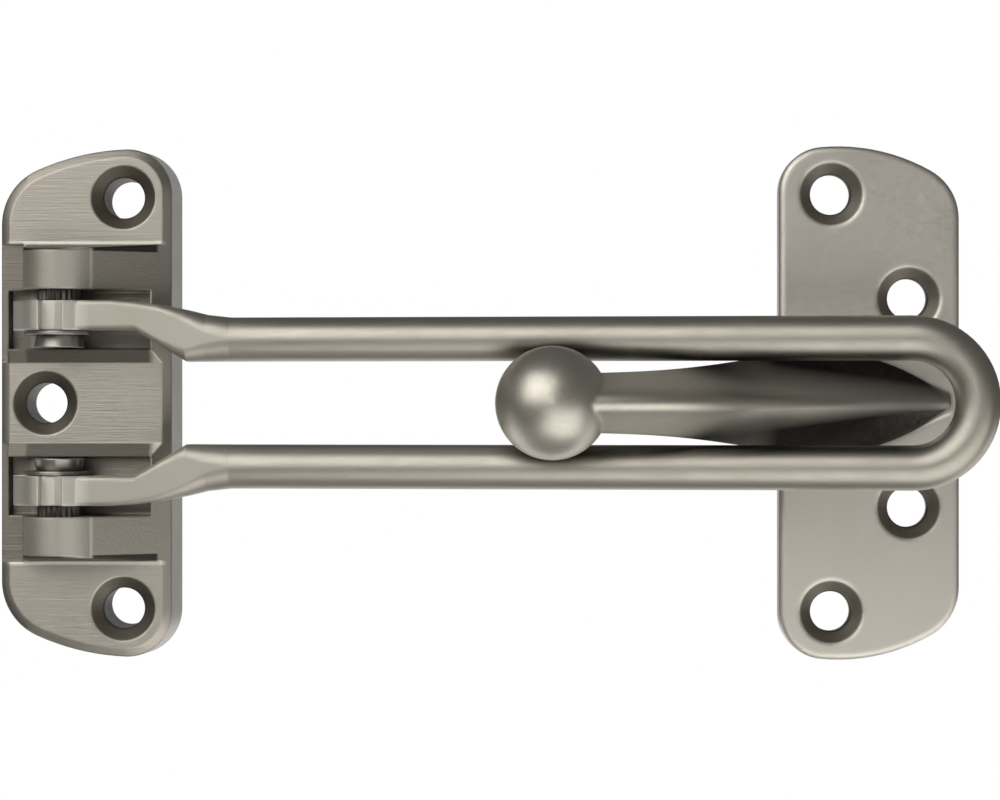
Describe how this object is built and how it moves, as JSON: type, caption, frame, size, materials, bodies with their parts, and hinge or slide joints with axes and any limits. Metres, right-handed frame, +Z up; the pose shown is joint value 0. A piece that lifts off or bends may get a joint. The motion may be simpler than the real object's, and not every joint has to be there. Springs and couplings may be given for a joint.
{
  "type": "swing bar door guard",
  "caption": "Swing bar door guard: a hinge base with a looped bar that swings on two pins, and a keeper plate whose ball on a raised neck stands in the bar's slot.",
  "frame": {"origin": "midway between the hinge base's two end screw holes, on the mounting plane at the back of both plates", "axes": "+X from the hinge base to the keeper along the engaged bar, +Y into the door and frame, +Z up along the hinge axis"},
  "size_m": [0.1221, 0.033, 0.0652],
  "materials": {
    "satin_nickel_cast": "satin nickel plate on a die casting, brushed across the raised pads",
    "satin_nickel_bar": "satin nickel plate, fine grain along the bar",
    "pin_steel": "bare turned steel with a knurl"
  },
  "bodies": {
    "mounting": {"hinge_base": "satin_nickel_cast", "hinge_pin_upper": "pin_steel", "hinge_pin_lower": "pin_steel", "pin_washer_upper": "pin_steel", "pin_washer_lower": "pin_steel", "keeper": "satin_nickel_cast"},
    "bar": {"swing_bar": "satin_nickel_bar"}
  },
  "joints": [
    {"name": "bar_swing", "type": "hinge", "parent": "mounting", "child": "bar", "pos_m": [-0.0075, -0.0118, 0], "axis": [0, 0, -1], "range_deg": [-2, 162]}
  ]
}
